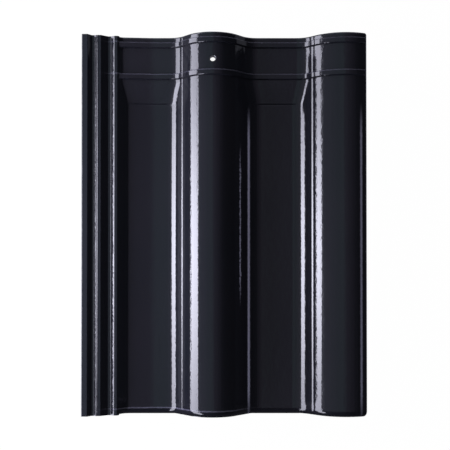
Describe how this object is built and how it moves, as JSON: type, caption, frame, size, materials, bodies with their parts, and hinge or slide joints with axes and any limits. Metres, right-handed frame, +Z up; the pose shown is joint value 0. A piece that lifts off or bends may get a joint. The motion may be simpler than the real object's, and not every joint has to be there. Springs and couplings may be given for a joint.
{
  "type": "roof pantile",
  "caption": "Interlocking double-roll clay roof pantile with a glossy blue-black glaze, ribbed head with nail hole, underlap gutters, cover roll, nibs and a nose lip.",
  "frame": {"origin": "middle of the tile's plan, on the level floor that the nose lip and the two nibs lie on", "axes": "+X across the tile from the underlap to the cover roll, +Y up the roof slope from nose to head, +Z up out of the weather side"},
  "size_m": [0.335, 0.45, 0.0574],
  "materials": {
    "glazed_clay": "pressed fired clay under a glossy blue-black glaze with fine orange peel"
  },
  "bodies": {
    "root": {"pantile": "glazed_clay"}
  },
  "joints": []
}
